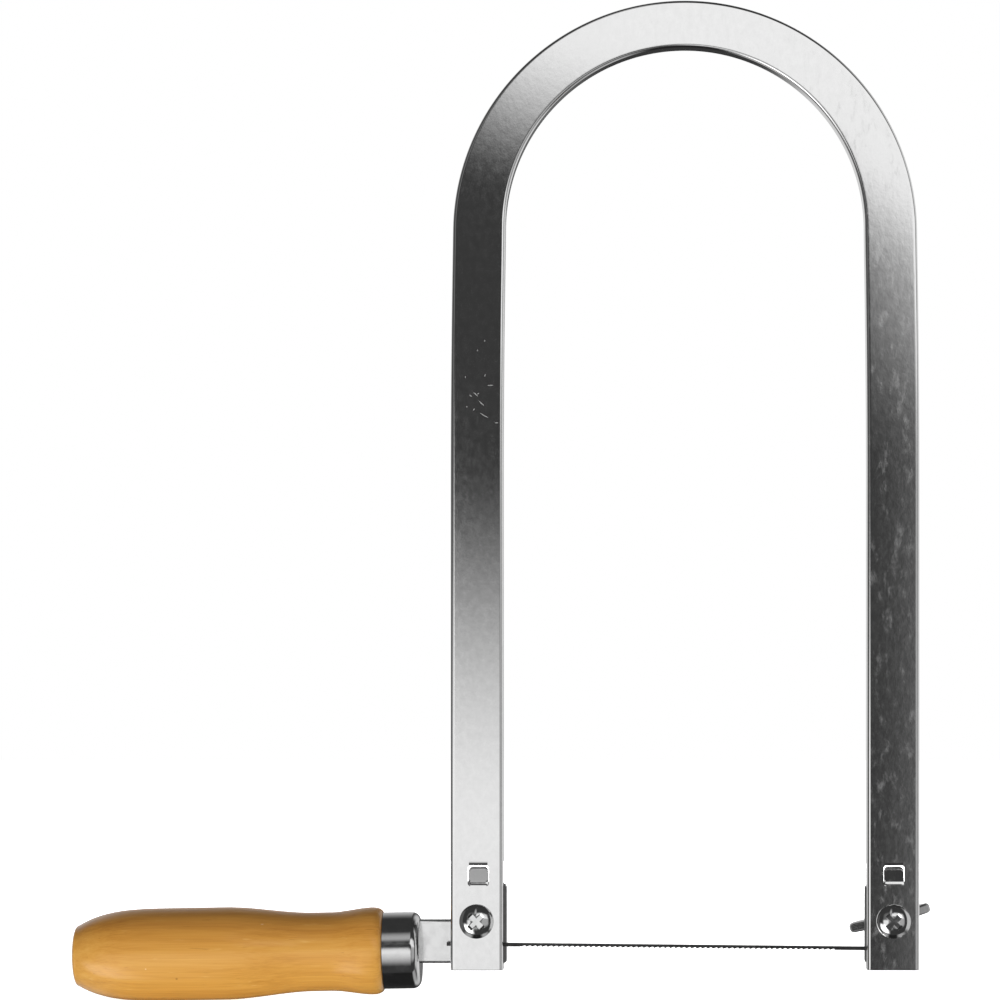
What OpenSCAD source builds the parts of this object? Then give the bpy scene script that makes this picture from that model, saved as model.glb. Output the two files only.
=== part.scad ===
// Fret saw: a bow pressed from sheet into an open channel, a turned handle with
// a steel ferrule, and a thin toothed blade held by two wing nut clamps.
// The bow stands upright. The blade and handle run along X, handle on -X,
// the flat front of the bow faces -Y and the wing nuts are behind, on +Y.

/* [Bow] */
// Width of the bow over the outsides of its legs
bow_w = 131; // [110:1:160]
// Height of the bow from the leg ends to the top of its arch
bow_h = 271.7; // [200:0.1:330]
// Width of the channel, seen from the front
leg_w = 14.2; // [12.5:0.1:18]
// Depth of the channel from its front face to its back rims
leg_depth = 6; // [5:0.1:9]
// Thickness of the sheet that the bow is pressed from
sheet_t = 1; // [0.7:0.05:1.3]
// Inner radius of the folds along the channel
fold_inner_r = 0.2; // [0.1:0.05:0.6]

/* [Lanced tongues] */
// Width of the window that each tongue is cut from
tongue_window_w = 5.9; // [4:0.1:8]
// Height of that window
tongue_window_h = 7; // [5:0.1:10]
// Depth of the window's lower edge below the top of the clamp plate's lip
tongue_window_drop = 0.9; // [0.2:0.1:1.2]
// Angle that the tongue is bent back into the channel
tongue_angle = 35; // [20:1:50]
// Slit between the tongue and the sides of its window
tongue_slit = 0.3; // [0.2:0.05:0.6]
// Corner radius of the tongue's free end
tongue_corner_r = 0.8; // [0.3:0.1:1.4]

/* [Blade clamps] */
// Height of each clamp screw above the leg ends
screw_lift = 13.7; // [11:0.1:16]
// Height of a clamp plate
plate_h = 23.1; // [20:0.1:28]
// Thickness of a clamp plate
plate_t = 1.5; // [1:0.1:2.5]
// Height of the lower edges of the plates and of the tang above the leg ends
plate_lift = 1.4; // [0:0.1:2]
// How far a plate reaches past each side of the leg
plate_overhang = 0.7; // [0:0.1:2]
// Corner radius of the plates and of the tang plate
plate_corner_r = 1.2; // [0.5:0.1:2]
// Gap between the sides of the channel and the lip bent forward into it
lip_side_gap = 1.3; // [0.5:0.1:2.5]
// Gap between the end of that lip and the web of the channel
lip_end_gap = 1.5; // [0.8:0.1:3]

/* [Clamp screws] */
// Thread diameter
screw_d = 5; // [4:0.5:6]
// Length under the head
screw_l = 20; // [18:1:25]
// Diameter of the domed head
screw_head_d = 9.6; // [8:0.1:11]
// Height of the head
screw_head_h = 2.9; // [2:0.1:4]
// Height of the head's upright side
screw_head_side_h = 1; // [0.5:0.1:1.6]
// Length across the cross recess
recess_l = 5; // [3:0.1:6]
// Width of each slot of the recess
recess_w = 1.1; // [0.8:0.1:1.4]
// Depth of the recess
recess_depth = 1.6; // [1:0.1:1.9]

/* [Wing nuts] */
// Width over both wings
wing_span = 23.6; // [20:0.1:28]
// Height of the wings above the seat
wing_h = 12; // [10:0.1:14]
// Thickness of the wings
wing_t = 2.8; // [1.5:0.1:3.5]
// Radius of the round wing tips
wing_tip_r = 3; // [2:0.1:4]
// Diameter of the hub at its seat
hub_d = 10.6; // [9:0.1:12]
// Diameter of the hub at its top
hub_top_d = 8.4; // [7:0.1:9]
// Height of the hub
hub_h = 6; // [4:0.1:8]
// Angle of the right nut's wings above the level, seen from the front
right_wing_angle = 15; // [0:1:90]
// Angle of the left nut's wings above the level, seen from the front
left_wing_angle = 90; // [0:1:90]

/* [Blade] */
// Height of the blade over the tooth tips
blade_h = 1.05; // [0.8:0.05:2]
// Thickness of the blade
blade_t = 0.5; // [0.3:0.05:0.8]
// Height of the middle of the blade's back above the leg ends
blade_lift = 6.8; // [4:0.1:8]
// Angle that the blade falls towards its right end
blade_tilt = 0.6; // [0:0.1:0.8]
// How far the blade's left end stands out past the left leg
blade_tip_out = 1.6; // [0:0.05:4]
// How far the blade's right end stops short of the right leg's outside
blade_end_in = 2.6; // [0:0.05:6]
// Plain length at each end of the blade
blade_plain_l = 20.5; // [16:0.1:24]
// Distance from tooth to tooth
tooth_pitch = 1.5; // [1:0.1:2.5]
// Depth of the gullets between the teeth
tooth_depth = 0.32; // [0.2:0.01:0.5]

/* [Handle] */
// Length of the wood from its butt to the ferrule
handle_l = 88.1; // [75:0.1:110]
// Largest diameter, at the belly
belly_d = 26.1; // [25:0.1:32]
// Diameter at the waist
waist_d = 22.2; // [20:0.1:26]
// Diameter of the swell behind the ferrule
shoulder_d = 24.6; // [24:0.1:30]
// Diameter of the butt inside its rounded edge
butt_d = 17; // [14:0.1:22]
// Angle that the handle and the ferrule fall towards the butt
handle_droop = 1; // [0:0.1:3]

/* [Ferrule] */
// Outer diameter of the steel cup
ferrule_d = 21.6; // [21:0.1:24]
// Length of the cup
ferrule_l = 10.5; // [8:0.1:16]
// Thickness of its wall
ferrule_wall = 0.8; // [0.5:0.1:1.1]
// Outer radius of its front edge
ferrule_edge_r = 1.5; // [1.2:0.1:1.6]

/* [Tang plate] */
// Height of the tang between the leg and the ferrule
tang_h = 12.4; // [9:0.1:12.4]
// Thickness of the tang plate
tang_t = 2; // [1.5:0.1:3]
// Bare length of the tang between the leg and the ferrule
tang_bare_l = 9; // [6:0.1:16]
// Depth of the tang's lower edge below the handle's axis, at the ferrule's front
tang_drop = 3.7; // [3:0.1:5]
// Height of the lug that the left screw passes through
lug_h = 22.6; // [19:0.1:22.6]
// How far the lug reaches past the inside of the leg
lug_overhang = 1.2; // [0:0.1:2.5]
// Length of the spike inside the wood
spike_l = 38; // [25:1:50]
// Height of the spike at its tip
spike_tip_h = 3; // [2:0.1:5]

/* [Hidden] */
$fn = 96;

// Clearances and the overrun of every cut
hole_gap = 0.25;
thread_gap = 0.05;
fit_gap = 0.1;
overrun = 1;

// Stations along the handle, as shares of its length from the butt
butt_round_share = 0.0225;
belly_start_share = 0.366;
belly_end_share = 0.494;
waist_start_share = 0.776;
waist_end_share = 0.833;
shoulder_share = 0.967;
// Points along each curved stretch of the handle
handle_steps = 12;
ferrule_r = ferrule_d / 2;
handle_shares = concat(
    stretch(0, butt_round_share),
    stretch(butt_round_share, belly_start_share),
    [belly_start_share],
    stretch(belly_end_share, waist_start_share),
    [waist_start_share],
    stretch(waist_end_share, shoulder_share),
    [for (i = [0 : handle_steps]) shoulder_share + (1 - shoulder_share) * sin(90 * i / handle_steps)]
);

// Heights are measured from the leg ends until the saw is placed. This is the axis at the ferrule's front.
axis_z = plate_lift + tang_drop;
// Depth of the lowest point of the wood below the leg ends
wood_drop = max([for (s = handle_shares)
    handle_radius(s) * cos(handle_droop) + behind_front(s) * sin(handle_droop)]) - axis_z;
// How far the wood reaches to the left of the ferrule's front
butt_reach = max([for (s = handle_shares)
    behind_front(s) * cos(handle_droop) + handle_radius(s) * sin(handle_droop)]);

// Bow, in depth from the front face
fold_r = fold_inner_r + sheet_t;
arch_outer_r = bow_w / 2;
arch_inner_r = arch_outer_r - leg_w;
arch_z = bow_h - arch_outer_r;
leg_mid_x = arch_outer_r - leg_w / 2;
lip_z = plate_lift + plate_h;
window_z = lip_z - tongue_window_drop;

// Points along the bend of a tongue
tongue_bend_steps = 6;

// Each stamping lies against the one in front of it
plate_y = leg_depth + blade_t;
tang_y = plate_y + plate_t;
left_seat_y = tang_y + tang_t;
right_seat_y = tang_y;
plate_w = leg_w + 2 * plate_overhang;
lip_w = leg_w - 2 * (sheet_t + lip_side_gap);
lip_y = sheet_t + lip_end_gap;
lip_bend_r = plate_t / 2;

// Holes and radii along the screws
screw_r = screw_d / 2;
hole_r = screw_r + hole_gap;
head_r = screw_head_d / 2;
head_rise = screw_head_h - screw_head_side_h;
head_dome_r = (head_r * head_r + head_rise * head_rise) / (2 * head_rise);

// Handle, ferrule and spike share one axis, which falls from the ferrule's front to the butt
handle_y = tang_y + tang_t / 2;
ferrule_front_x = -(arch_outer_r + tang_bare_l);
spigot_r = ferrule_r - ferrule_wall - fit_gap;
spigot_l = ferrule_l - ferrule_wall - fit_gap;
spigot_inset = ferrule_l - spigot_l;
spike_root_h = 2 * tang_drop;

// Blade
blade_l = bow_w + blade_tip_out - blade_end_in;
tooth_count = floor((blade_l - 2 * blade_plain_l) / tooth_pitch);
toothed_l = tooth_count * tooth_pitch;
blade_left_x = -(arch_outer_r + blade_tip_out);
tooth_start_x = blade_left_x + (blade_l - toothed_l) / 2;
// Tooth outline, as shares of the pitch: lean of the steep face and length of the gullet floor
tooth_lean_share = 0.12;
tooth_gullet_share = 0.3;

// Wing nut: upright side and root circle of the wings, as shares of the hub's height and radius
hub_side_share = 0.25;
wing_root_r_share = 0.33;
wing_root_out_share = 0.5;

// The origin is below the middle of the whole saw
right_end_x = leg_mid_x + wing_span / 2 * cos(right_wing_angle) + wing_t / 2 * sin(right_wing_angle);
front_y = min(handle_y - belly_d / 2, -screw_head_h);
back_y = max(handle_y + belly_d / 2, left_seat_y + wing_h, screw_l);
mid_x = (right_end_x + ferrule_front_x - butt_reach) / 2;
mid_y = (front_y + back_y) / 2;

// Eases from 0 to 1 with level ends
function eased(t) = t * t * (3 - 2 * t);

// Radius of the handle at a share of its length from the butt
function handle_radius(share) =
    share < butt_round_share ? butt_d / 2 * pow(1 - pow(1 - share / butt_round_share, 2), 0.25)
    : share < belly_start_share ? butt_d / 2 + (belly_d - butt_d) / 2
        * (1 - pow(1 - (share - butt_round_share) / (belly_start_share - butt_round_share), 4))
    : share < belly_end_share ? belly_d / 2
    : share < waist_start_share ? belly_d / 2 + (waist_d - belly_d) / 2
        * eased((share - belly_end_share) / (waist_start_share - belly_end_share))
    : share < waist_end_share ? waist_d / 2
    : share < shoulder_share ? waist_d / 2 + (shoulder_d - waist_d) / 2
        * eased((share - waist_end_share) / (shoulder_share - waist_end_share))
    : ferrule_r + (shoulder_d / 2 - ferrule_r)
        * sqrt(1 - pow((share - shoulder_share) / (1 - shoulder_share), 2));

// Distance of a share of the handle's length behind the ferrule's front, along their axis
function behind_front(share) = ferrule_l + (1 - share) * handle_l;

// Shares along a stretch, closer together where it starts
function stretch(from_share, to_share) =
    [for (i = [0 : handle_steps - 1]) from_share + (to_share - from_share) * pow(i / handle_steps, 1.5)];

// Corners of the strip between two circles that touches both along its sides
function tangent_strip(a, ra, b, rb) =
    let (d = b - a, along = atan2(d[1], d[0]), side = acos((ra - rb) / norm(d)))
    [
        a + ra * [cos(along + side), sin(along + side)],
        a + ra * [cos(along - side), sin(along - side)],
        b + rb * [cos(along - side), sin(along - side)],
        b + rb * [cos(along + side), sin(along + side)]
    ];

// Moves the saw so that its origin is below its middle
module placed() {
    translate([-mid_x, -mid_y, wood_drop]) children();
}

// Extrudes an outline drawn in depth and height along X, about its middle
module across(width) {
    translate([-width / 2, 0, 0]) rotate([90, 0, 90]) linear_extrude(width) children();
}

// Turns a profile drawn as radius and distance into a round solid on the handle's axis.
// The profile starts at a distance behind the ferrule's front.
module turned_on_handle(behind) {
    translate([ferrule_front_x, handle_y, axis_z]) rotate([0, -handle_droop, 0])
        translate([-behind, 0, 0]) rotate([0, 90, 0]) rotate_extrude() children();
}

// Turns a profile drawn as radius and distance into a round solid along Y
module turned_along_y() {
    rotate([-90, 0, 0]) rotate_extrude() children();
}

// Extrudes an outline drawn in X and Z backwards along Y
module backwards(depth) {
    translate([0, depth, 0]) rotate([90, 0, 0]) linear_extrude(depth) children();
}

// Rectangle with round corners, from its lower left corner
module rounded_rect(w, h, r) {
    translate([r, 0]) square([w - 2 * r, h]);
    translate([0, r]) square([w, h - 2 * r]);
    for (x = [r, w - r], y = [r, h - r]) translate([x, y]) circle(r);
}

// Section that is square at the back and rounded at its two front corners
module round_front(w, d, r) {
    translate([0, r]) square([w, d - r]);
    translate([r, 0]) square([w - 2 * r, r]);
    for (x = [r, w - r]) translate([x, r]) circle(r);
}

// Section of the pressed channel, front face at zero
module channel_section() {
    difference() {
        round_front(leg_w, leg_depth, fold_r);
        translate([sheet_t, sheet_t])
            round_front(leg_w - 2 * sheet_t, leg_depth - sheet_t + overrun, fold_inner_r);
    }
}

// Tongue cut from the web and bent back into the channel from the window's lower edge.
// Its profile in depth and height is cut to the tongue's outline, seen from the front.
module lanced_tongue() {
    tongue_w = tongue_window_w - 2 * tongue_slit;
    bend_r = sheet_t / 2;
    outer_bend_r = bend_r + sheet_t;
    turns = [for (i = [0 : tongue_bend_steps]) tongue_angle * i / tongue_bend_steps];
    front = [for (a = turns) [outer_bend_r * (1 - cos(a)), outer_bend_r * sin(a)]];
    back = [for (a = turns) [outer_bend_r - bend_r * cos(a), bend_r * sin(a)]];
    flat_l = tongue_window_h - tongue_slit - (bend_r + sheet_t / 2) * tongue_angle * PI / 180;
    tongue_h = outer_bend_r * sin(tongue_angle) + flat_l * cos(tongue_angle);
    flat = (flat_l + overrun) * [sin(tongue_angle), cos(tongue_angle)];
    translate([0, 0, window_z]) intersection() {
        across(tongue_w + 2 * overrun) polygon(concat(
            [[0, -sheet_t]],
            front,
            [front[tongue_bend_steps] + flat, back[tongue_bend_steps] + flat],
            [for (i = [tongue_bend_steps : -1 : 0]) back[i]],
            [[sheet_t, -sheet_t]]
        ));
        translate([-tongue_w / 2, -overrun, -sheet_t]) backwards(leg_depth + overrun)
            rounded_rect(tongue_w, tongue_h + sheet_t, tongue_corner_r);
    }
}

// Half section of a round block with a rounded front edge, drawn as radius and distance
module round_end_section(r, l, edge_r) {
    square([r, l - edge_r]);
    square([r - edge_r, l]);
    translate([r - edge_r, l - edge_r]) circle(edge_r);
}

module frame() {
    color("silver") placed() {
        difference() {
            union() {
                for (side = [0, 1]) mirror([side, 0, 0])
                    translate([arch_inner_r, 0, 0]) linear_extrude(arch_z) channel_section();
                translate([0, 0, arch_z]) rotate([-90, 0, 0]) rotate([0, 0, 180])
                    rotate_extrude(angle = 180) translate([arch_inner_r, 0]) channel_section();
            }
            for (side = [-1, 1]) {
                translate([side * leg_mid_x, -overrun, screw_lift]) rotate([-90, 0, 0])
                    cylinder(h = sheet_t + 2 * overrun, r = hole_r);
                translate([side * leg_mid_x - tongue_window_w / 2, -overrun, window_z])
                    cube([tongue_window_w, sheet_t + 2 * overrun, tongue_window_h]);
            }
        }
        for (side = [-1, 1]) translate([side * leg_mid_x, 0, 0]) lanced_tongue();
    }
}

// Screw with a domed head and a cross recess, seated on the front of a leg
module clamp_screw() {
    color("gainsboro") translate([0, 0, screw_lift]) difference() {
        union() {
            rotate([-90, 0, 0]) cylinder(h = screw_l, r = screw_r);
            mirror([0, 1, 0]) turned_along_y() intersection() {
                square([head_r, screw_head_h]);
                translate([0, screw_head_h - head_dome_r]) circle(head_dome_r);
            }
        }
        for (turn = [0, 90]) rotate([0, turn + 45, 0])
            translate([-recess_l / 2, -screw_head_h - overrun, -recess_w / 2])
                cube([recess_l, recess_depth + overrun, recess_w]);
    }
}

module left_clamp_screw() {
    placed() translate([-leg_mid_x, 0, 0]) clamp_screw();
}

module right_clamp_screw() {
    placed() translate([leg_mid_x, 0, 0]) clamp_screw();
}

// Plate that presses the blade on the rims, with a lip that keeps it from turning
module clamp_plate() {
    color("lightsteelblue") difference() {
        union() {
            translate([-plate_w / 2, plate_y, plate_lift]) backwards(plate_t)
                rounded_rect(plate_w, plate_h - lip_bend_r, plate_corner_r);
            across(lip_w) {
                translate([lip_y, lip_z - plate_t])
                    square([tang_y - lip_bend_r - lip_y, plate_t]);
                translate([plate_y, lip_z - plate_t - lip_bend_r])
                    square([plate_t, plate_t]);
                translate([tang_y - lip_bend_r, lip_z - lip_bend_r]) circle(lip_bend_r);
            }
        }
        translate([0, plate_y - overrun, screw_lift]) rotate([-90, 0, 0])
            cylinder(h = plate_t + 2 * overrun, r = hole_r);
    }
}

module left_clamp_plate() {
    placed() translate([-leg_mid_x, 0, 0]) clamp_plate();
}

module right_clamp_plate() {
    placed() translate([leg_mid_x, 0, 0]) clamp_plate();
}

// Outline of the spike in X and Z from the ferrule's front, grown by a gap for its slot in the wood
module spike_outline(gap) {
    tip_x = -(spigot_inset + spike_l + gap);
    translate([ferrule_front_x, axis_z]) rotate(handle_droop) polygon([
        [gap, -spike_root_h / 2 - gap],
        [gap, spike_root_h / 2 + gap],
        [tip_x, spike_tip_h / 2 + gap],
        [tip_x, -spike_tip_h / 2 - gap]
    ]);
}

// Stamping with a lug on the left screw, a tang to the ferrule and a spike in the wood
module tang_plate() {
    lug_left_x = -(arch_outer_r + plate_overhang);
    lug_right_x = -(arch_inner_r - lug_overhang);
    tang_end_x = ferrule_front_x - spigot_inset;
    color("silver") placed() difference() {
        translate([0, tang_y, 0]) backwards(tang_t) {
            translate([lug_left_x, plate_lift])
                rounded_rect(lug_right_x - lug_left_x, lug_h, plate_corner_r);
            translate([tang_end_x, plate_lift])
                square([lug_left_x + leg_w / 2 - tang_end_x, tang_h]);
            spike_outline(0);
        }
        translate([-leg_mid_x, tang_y - overrun, screw_lift]) rotate([-90, 0, 0])
            cylinder(h = tang_t + 2 * overrun, r = hole_r);
    }
}

module ferrule() {
    color("lightgray") placed() difference() {
        turned_on_handle(ferrule_l) difference() {
            round_end_section(ferrule_r, ferrule_l, ferrule_edge_r);
            translate([0, -overrun])
                round_end_section(ferrule_r - ferrule_wall, ferrule_l - ferrule_wall + overrun,
                    ferrule_edge_r - ferrule_wall);
        }
        translate([ferrule_front_x - ferrule_l, tang_y - fit_gap, plate_lift - fit_gap])
            cube([ferrule_l + overrun, tang_t + 2 * fit_gap, tang_h + 2 * fit_gap]);
    }
}

module handle() {
    color("burlywood") placed() difference() {
        turned_on_handle(behind_front(0)) {
            polygon(concat([for (s = handle_shares) [handle_radius(s), s * handle_l]], [[0, handle_l]]));
            translate([0, handle_l]) round_end_section(spigot_r, spigot_l, ferrule_edge_r - ferrule_wall);
        }
        translate([0, tang_y - fit_gap, 0]) backwards(tang_t + 2 * fit_gap) spike_outline(fit_gap);
    }
}

// Toothed blade, its steep tooth faces towards the handle
module blade() {
    tip_z = -blade_h;
    gullet_z = tip_z + tooth_depth;
    teeth = [for (i = [0 : tooth_count - 1]) let (x = tooth_start_x + i * tooth_pitch) each [
        [x, gullet_z],
        [x + tooth_lean_share * tooth_pitch, tip_z],
        [x + (1 - tooth_gullet_share) * tooth_pitch, gullet_z]
    ]];
    color("dimgray") placed() translate([0, leg_depth, blade_lift]) backwards(blade_t)
        rotate(-blade_tilt) polygon(concat(
            [[blade_left_x, 0], [blade_left_x, tip_z], [tooth_start_x, tip_z]],
            teeth,
            [[tooth_start_x + toothed_l, gullet_z], [tooth_start_x + toothed_l, tip_z]],
            [[blade_left_x + blade_l, tip_z], [blade_left_x + blade_l, 0]]
        ));
}

// Wing nut with its seat at zero and its axis along Y
module wing_nut() {
    root_r = wing_root_r_share * hub_h;
    root = [wing_root_out_share * hub_d / 2, hub_h / 2];
    tip = [wing_span / 2 - wing_tip_r, wing_h - wing_tip_r];
    color("silver") difference() {
        union() {
            turned_along_y() polygon([
                [0, 0],
                [hub_d / 2, 0],
                [hub_d / 2, hub_side_share * hub_h],
                [hub_top_d / 2, hub_h],
                [0, hub_h]
            ]);
            for (side = [0, 1]) mirror([side, 0, 0]) translate([0, 0, -wing_t / 2]) linear_extrude(wing_t) {
                translate(root) circle(root_r);
                translate(tip) circle(wing_tip_r);
                polygon(tangent_strip(root, root_r, tip, wing_tip_r));
            }
        }
        translate([0, -overrun, 0]) rotate([-90, 0, 0])
            cylinder(h = wing_h + 2 * overrun, r = screw_r + thread_gap);
    }
}

module left_wing_nut() {
    placed() translate([-leg_mid_x, left_seat_y, screw_lift]) rotate([0, -left_wing_angle, 0]) wing_nut();
}

module right_wing_nut() {
    placed() translate([leg_mid_x, right_seat_y, screw_lift]) rotate([0, -right_wing_angle, 0]) wing_nut();
}

frame();
left_clamp_screw();
right_clamp_screw();
blade();
left_clamp_plate();
right_clamp_plate();
tang_plate();
ferrule();
handle();
left_wing_nut();
right_wing_nut();
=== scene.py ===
import math

import bmesh
import bpy
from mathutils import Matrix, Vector


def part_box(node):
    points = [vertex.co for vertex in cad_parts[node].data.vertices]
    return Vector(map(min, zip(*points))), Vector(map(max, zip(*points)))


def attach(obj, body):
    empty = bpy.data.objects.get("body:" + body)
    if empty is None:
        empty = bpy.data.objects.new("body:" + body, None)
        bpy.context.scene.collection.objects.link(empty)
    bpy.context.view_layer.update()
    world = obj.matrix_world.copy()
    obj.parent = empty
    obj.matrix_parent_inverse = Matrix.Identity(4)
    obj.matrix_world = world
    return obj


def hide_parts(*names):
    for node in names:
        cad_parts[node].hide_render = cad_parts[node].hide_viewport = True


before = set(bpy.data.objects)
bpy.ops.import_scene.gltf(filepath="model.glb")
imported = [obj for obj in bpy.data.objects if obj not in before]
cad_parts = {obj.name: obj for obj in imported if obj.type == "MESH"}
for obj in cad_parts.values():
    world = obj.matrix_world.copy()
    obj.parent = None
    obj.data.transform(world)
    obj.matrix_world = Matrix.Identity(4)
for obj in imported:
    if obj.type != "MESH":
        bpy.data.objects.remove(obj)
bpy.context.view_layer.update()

# Everything below is written in millimetres of the shared frame and made in metres
MM = 0.001


def box_mm(node):
    low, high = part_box(node)
    return low / MM, high / MM


# Sizes that the solids already have
bow_low, bow_high = box_mm("frame")
BOW_X = (bow_low.x + bow_high.x) / 2
FRONT_Y = bow_low.y
LEG_END_Z = bow_low.z
LEG_W = 14.2
LEG_DEPTH = bow_high.y - bow_low.y
SHEET_T = 1.0
FOLD_R = 0.95
ARCH_R = (bow_high.x - bow_low.x) / 2
ARCH_INNER_R = ARCH_R - LEG_W
ARCH_Z = bow_high.z - ARCH_R
LEG_MID = ARCH_R - LEG_W / 2
SCREW_Z = LEG_END_Z + 13.7
WINDOW_Z = LEG_END_Z + 23.6
WINDOW_W = 5.9
SCREW_R = 2.5
HOLE_R = SCREW_R + 0.25
BLADE_T = 0.5
PLATE_Y = FRONT_Y + LEG_DEPTH + BLADE_T
PLATE_T = 1.5
PLATE_LOW_Z = LEG_END_Z + 1.4
PLATE_TOP_Z = PLATE_LOW_Z + 23.1
TANG_Y = PLATE_Y + PLATE_T
TANG_T = 2.0
TANG_H = 12.4
AXIS_Y = TANG_Y + TANG_T / 2
# The handle's axis falls to the butt from the middle of the ferrule's front
AXIS_Z = PLATE_LOW_Z + 3.7
FERRULE_FRONT_X = BOW_X - ARCH_R - 9.0
DROOP = math.radians(1.0)
FERRULE_R = 10.8
FERRULE_L = 10.5
HANDLE_L = 88.1
BLADE_TILT = math.radians(0.6)
LEGS = {"left": BOW_X - LEG_MID, "right": BOW_X + LEG_MID}
# The folded sheet as it shows is a little fuller than the plain solid
FACE_OUT = ARCH_R + 0.2
FACE_W = 14.7
FACE_IN = FACE_OUT - FACE_W
# How far a cutting tool reaches past what it cuts
PAST = 1.0


# Mesh tools

def add_object(name, bm):
    bmesh.ops.recalc_face_normals(bm, faces=bm.faces)
    mesh = bpy.data.meshes.new(name)
    bm.to_mesh(mesh)
    bm.free()
    obj = bpy.data.objects.new(name, mesh)
    bpy.context.scene.collection.objects.link(obj)
    return obj


def loft(bm, rings):
    """Joins closed rings of points with quads, and closes both ends."""
    rows = [[bm.verts.new(Vector(p) * MM) for p in ring] for ring in rings]
    count = len(rows[0])
    for a, b in zip(rows, rows[1:]):
        for i in range(count):
            j = (i + 1) % count
            bm.faces.new((a[i], a[j], b[j], b[i]))
    bm.faces.new(rows[0][::-1])
    bm.faces.new(rows[-1])


def turned(bm, profile, place, steps=96):
    """Turns a profile of (radius, distance); place(radius, angle, distance) gives each point."""
    rows = []
    for radius, distance in profile:
        turns = steps if radius > 0 else 1
        rows.append([
            bm.verts.new(Vector(place(radius, math.tau * i / steps, distance)) * MM)
            for i in range(turns)
        ])
    for a, b in zip(rows, rows[1:]):
        for i in range(steps):
            j = (i + 1) % steps
            ring = [a[i % len(a)], a[j % len(a)], b[j % len(b)], b[i % len(b)]]
            bm.faces.new(list(dict.fromkeys(ring)))


def about_handle(behind):
    """Places turned points about the handle's axis, counted from behind the ferrule's front."""
    c, s = math.cos(DROOP), math.sin(DROOP)

    def place(r, a, t):
        along, up = t - behind, r * math.sin(a)
        return (
            FERRULE_FRONT_X + along * c - up * s,
            AXIS_Y + r * math.cos(a),
            AXIS_Z + along * s + up * c,
        )

    return place


def about_y(x, y, z, way=1):
    """Places turned points about an axis along Y, with distances towards way."""
    return lambda r, a, t: (x + r * math.cos(a), y + way * t, z + r * math.sin(a))


def arc(cx, cy, r, start, end, steps):
    """Points on an arc, angles in degrees."""
    angles = [math.radians(start + (end - start) * i / steps) for i in range(steps + 1)]
    return [(cx + r * math.cos(a), cy + r * math.sin(a)) for a in angles]


def rounded_rect(x0, z0, x1, z1, r, steps=6):
    return (
        arc(x1 - r, z0 + r, r, -90, 0, steps) + arc(x1 - r, z1 - r, r, 0, 90, steps)
        + arc(x0 + r, z1 - r, r, 90, 180, steps) + arc(x0 + r, z0 + r, r, 180, 270, steps)
    )


def slab(outline, y0, y1):
    """Mesh of an outline in X and Z between two depths."""
    bm = bmesh.new()
    loft(bm, [[(x, y, z) for x, z in outline] for y in (y0, y1)])
    return bm


def across(outline, x0, x1):
    """Mesh of an outline in Y and Z between two places along X."""
    bm = bmesh.new()
    loft(bm, [[(x, y, z) for y, z in outline] for x in (x0, x1)])
    return bm


def rod(x, y0, y1, z, r, steps=64):
    """Mesh of a round rod along Y."""
    bm = bmesh.new()
    turned(bm, [(0, 0), (r, 0), (r, y1 - y0), (0, y1 - y0)], about_y(x, y0, z), steps)
    return bm


def bake(obj):
    """Puts the result of an object's modifiers in its mesh."""
    graph = bpy.context.evaluated_depsgraph_get()
    mesh = bpy.data.meshes.new_from_object(obj.evaluated_get(graph))
    obj.modifiers.clear()
    old = obj.data
    obj.data = mesh
    bpy.data.meshes.remove(old)
    mesh.name = obj.name


def combine(obj, bm, operation):
    """Cuts a mesh from an object or joins it on."""
    tool = add_object("tool", bm)
    mod = obj.modifiers.new("combine", "BOOLEAN")
    mod.operation = operation
    mod.solver = "EXACT"
    mod.object = tool
    bake(obj)
    bpy.data.objects.remove(tool, do_unlink=True)


def soften(obj, width, angle=40, segments=2):
    """Rounds the sharp edges of an object."""
    mod = obj.modifiers.new("soften", "BEVEL")
    mod.width = width * MM
    mod.segments = segments
    mod.limit_method = "ANGLE"
    mod.angle_limit = math.radians(angle)
    mod.use_clamp_overlap = True
    bake(obj)


def dress(obj, node, body, material, sharp=38):
    """Shades a piece, gives it its material and lets it stand for its node."""
    mesh = obj.data
    mesh.materials.clear()
    mesh.materials.append(material)
    mesh.polygons.foreach_set("use_smooth", [True] * len(mesh.polygons))
    mesh.set_sharp_from_angle(angle=math.radians(sharp))
    mod = obj.modifiers.new("even_normals", "WEIGHTED_NORMAL")
    mod.keep_sharp = True
    mod.weight = 100
    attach(obj, body)
    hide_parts(node)


# Materials

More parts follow.
